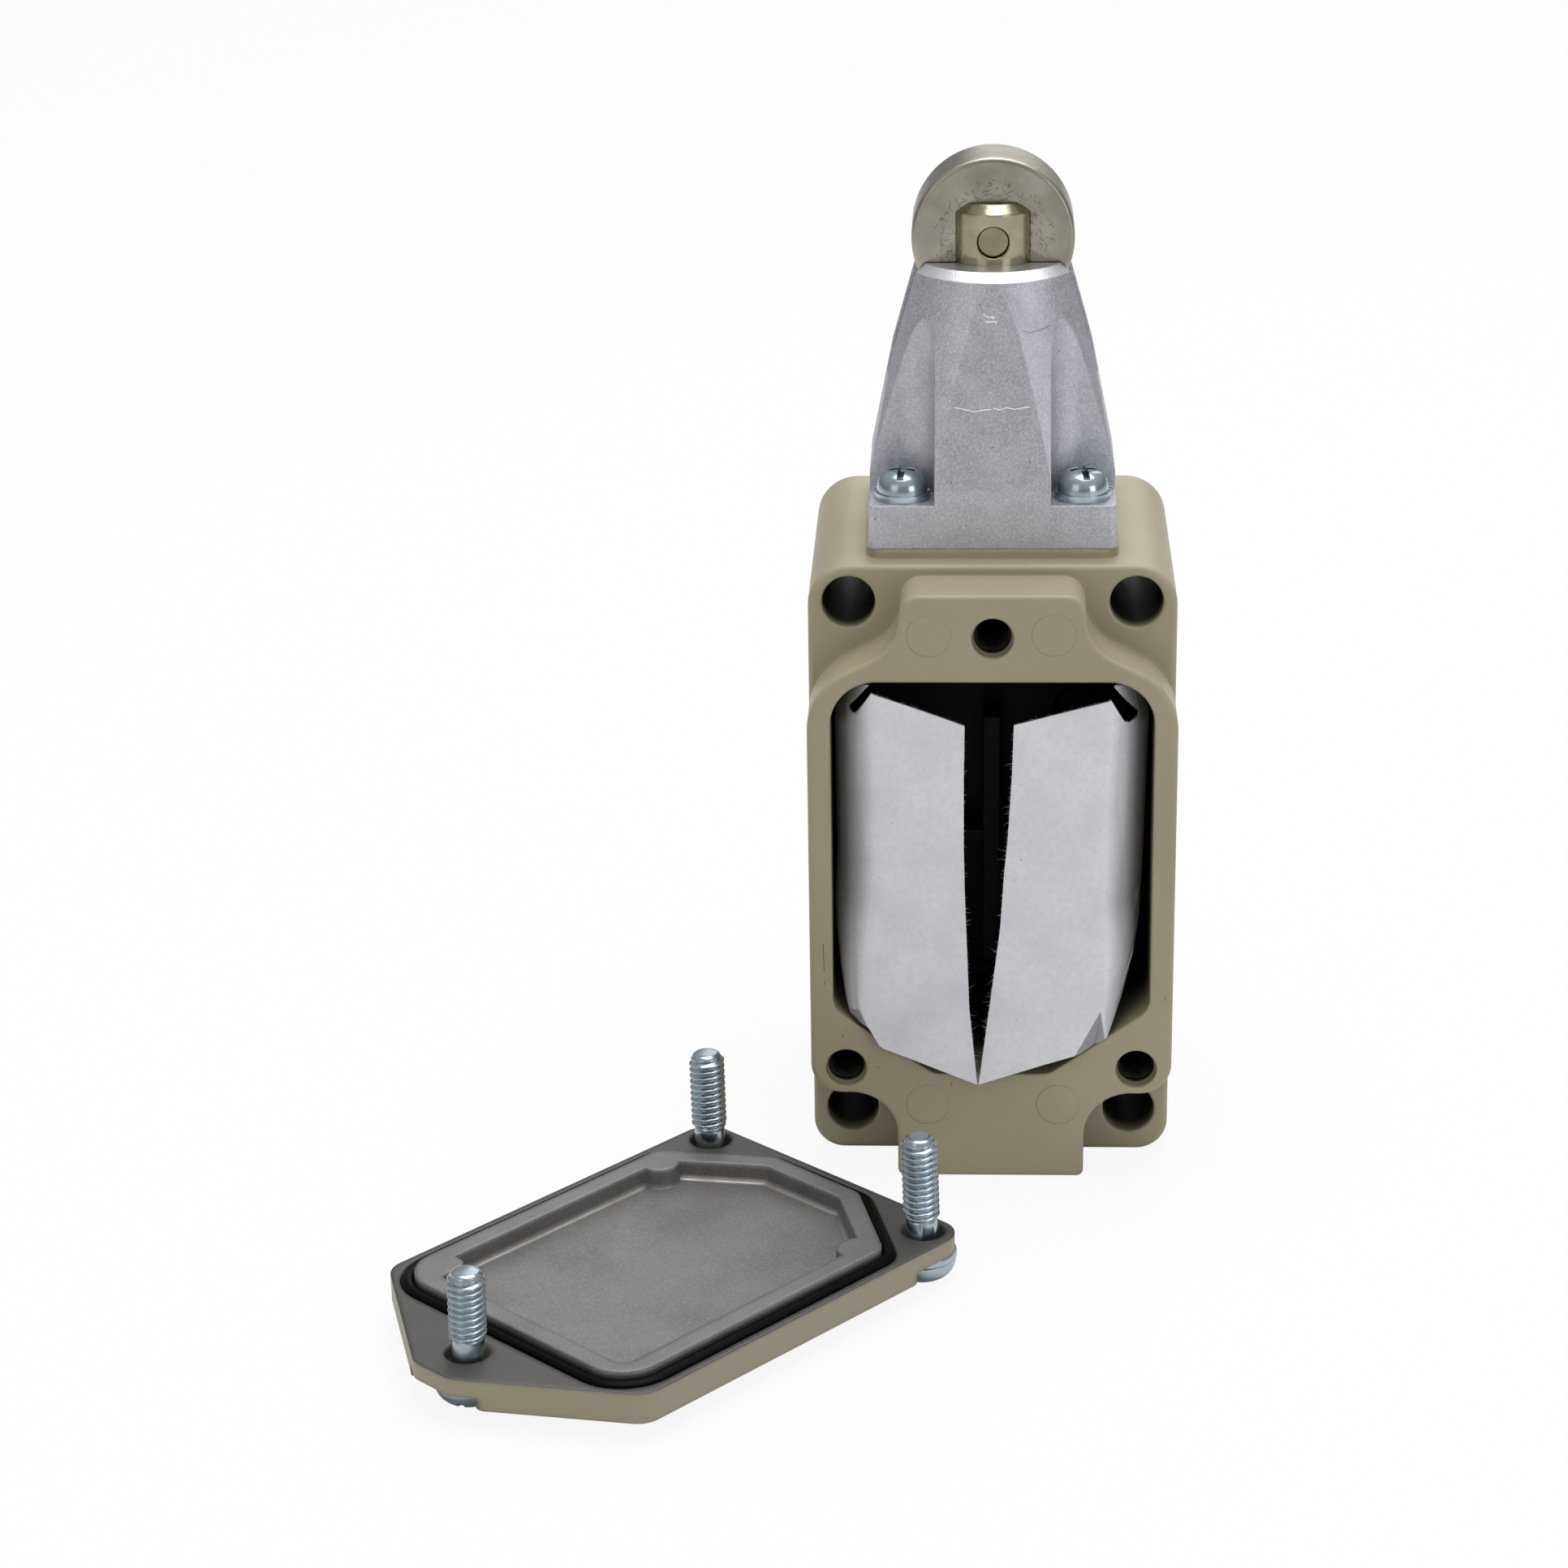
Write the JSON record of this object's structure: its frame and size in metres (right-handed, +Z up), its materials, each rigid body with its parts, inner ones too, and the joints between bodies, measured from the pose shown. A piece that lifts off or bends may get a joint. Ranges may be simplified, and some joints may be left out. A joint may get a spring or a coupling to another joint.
{
  "type": "plunger limit switch",
  "caption": "Limit switch with a roller plunger in a bolted head, a cast housing open at the front with its snap switch behind an insulating sheet, and its unscrewed cover beside it.",
  "frame": {"origin": "on the plunger's axis at the foot of the housing, in the mouth of the conduit entry", "axes": "+Z up along the plunger, -Y out of the open front, +X to the right seen from the front"},
  "size_m": [0.0805, 0.0962, 0.1081],
  "materials": {
    "painted_casting": "satin paint over a die casting",
    "cast_aluminium": "as cast, slightly rough, rim turned bright",
    "plated_steel": "nickel plated, satin",
    "plated_roller": "nickel plated, finely scratched",
    "pin_steel": "turned steel",
    "zinc_steel": "bright zinc plated",
    "spring_steel": "drawn wire",
    "rod_plastic": "smooth",
    "black_rubber": "matt",
    "black_phenolic": "matt moulding",
    "button_plastic": "smooth moulding",
    "contact_brass": "stamped strip",
    "white_fibre": "matt insulating board with soft cut edges",
    "cover_casting": "painted outside, dark bare casting inside"
  },
  "bodies": {
    "housing_body": {"housing": "painted_casting", "head": "cast_aluminium", "return_spring": "spring_steel", "plunger_seal": "black_rubber", "head_seal": "black_rubber", "head_screws": "zinc_steel", "head_spring_washers": "zinc_steel", "switch_case": "black_phenolic", "switch_lid": "black_phenolic", "bridge_spring": "spring_steel", "button_spring": "spring_steel", "nc_terminals": "contact_brass", "no_terminals": "contact_brass", "terminal_screws": "zinc_steel", "terminal_washers": "zinc_steel", "switch_screws": "zinc_steel", "ground_screw": "zinc_steel", "ground_washer": "zinc_steel", "insulating_sheet": "white_fibre", "cover": "cover_casting", "cover_gasket": "black_rubber", "cover_screws": "zinc_steel", "cover_screw_washers": "zinc_steel"},
    "plunger": {"plunger": "plated_steel", "roller_pin": "pin_steel", "rod_retainer": "zinc_steel", "overtravel_spring": "spring_steel"},
    "roller": {"roller": "plated_roller"},
    "push_rod": {"push_rod": "rod_plastic"},
    "switch_button": {"switch_button": "button_plastic"},
    "contact_bridge": {"contact_bridge": "contact_brass"}
  },
  "joints": [
    {"name": "plunger_press", "type": "slide", "parent": "housing_body", "child": "plunger", "axis": [0, 0, -1], "range_m": [0, 0.0073], "stiffness_N_per_m": 800, "springref_m": -0.004, "deforming": ["return_spring", "overtravel_spring", "button_spring", "bridge_spring"]},
    {"name": "roller_spin", "type": "hinge", "parent": "plunger", "child": "roller", "pos_m": [0, 0, 0.0996], "axis": [0, 1, 0], "continuous": true},
    {"name": "rod_slide", "type": "slide", "parent": "housing_body", "child": "push_rod", "axis": [0, 0, -1], "range_m": [0, 0.0022]},
    {"name": "button_slide", "type": "slide", "parent": "housing_body", "child": "switch_button", "axis": [0, 0, -1], "range_m": [0, 0.0022]},
    {"name": "bridge_slide", "type": "slide", "parent": "housing_body", "child": "contact_bridge", "axis": [0, 0, -1], "range_m": [0, 0.0015]}
  ],
  "couplings": [
    {"joint": "rod_slide", "follows": "plunger_press", "ratio": 0.30137},
    {"joint": "button_slide", "follows": "plunger_press", "ratio": 0.30137},
    {"joint": "bridge_slide", "follows": "plunger_press", "ratio": 0.20548}
  ]
}
